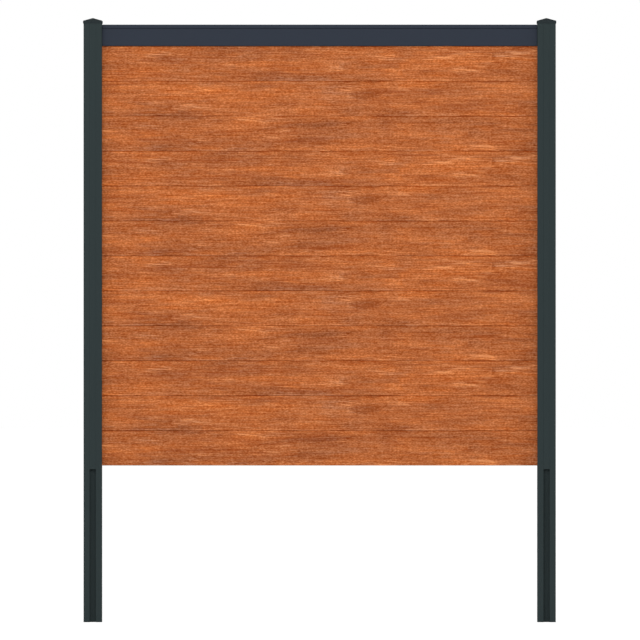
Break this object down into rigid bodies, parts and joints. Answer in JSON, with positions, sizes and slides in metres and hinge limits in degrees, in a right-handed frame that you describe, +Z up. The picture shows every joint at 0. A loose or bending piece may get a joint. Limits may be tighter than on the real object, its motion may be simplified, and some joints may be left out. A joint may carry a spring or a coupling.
{
  "type": "privacy fence panel",
  "caption": "Privacy fence bay: horizontal tongue-and-groove boards slotted between square posts with pyramid caps under a top rail, with post ends to bury in footings.",
  "frame": {"origin": "midway between the posts, in the panel's middle plane, at ground level", "axes": "+X along the fence to the right as seen from the front, +Y to the back, +Z up"},
  "size_m": [1.96, 0.08, 2.5031],
  "materials": {
    "post_coating": "matt charcoal powder coat on aluminium",
    "rail_coating": "matt blue-grey powder coat on aluminium",
    "wood_grain_composite": "wood-grain printed composite, matt",
    "bare_aluminium": "mill finish",
    "steel": "zinc plated"
  },
  "bodies": {
    "root": {"left_post": "post_coating", "left_post_cap": "post_coating", "left_front_slot_cover": "post_coating", "left_back_slot_cover": "post_coating", "left_outer_slot_cover": "post_coating", "left_board_stop": "bare_aluminium", "right_post": "post_coating", "right_post_cap": "post_coating", "right_front_slot_cover": "post_coating", "right_back_slot_cover": "post_coating", "right_outer_slot_cover": "post_coating", "right_board_stop": "bare_aluminium", "board_stop_screws": "steel", "board_01": "wood_grain_composite", "board_02": "wood_grain_composite", "board_03": "wood_grain_composite", "board_04": "wood_grain_composite", "board_05": "wood_grain_composite", "board_06": "wood_grain_composite", "board_07": "wood_grain_composite", "board_08": "wood_grain_composite", "board_09": "wood_grain_composite", "board_10": "wood_grain_composite", "board_11": "wood_grain_composite", "board_12": "wood_grain_composite", "top_rail": "rail_coating"}
  },
  "joints": []
}
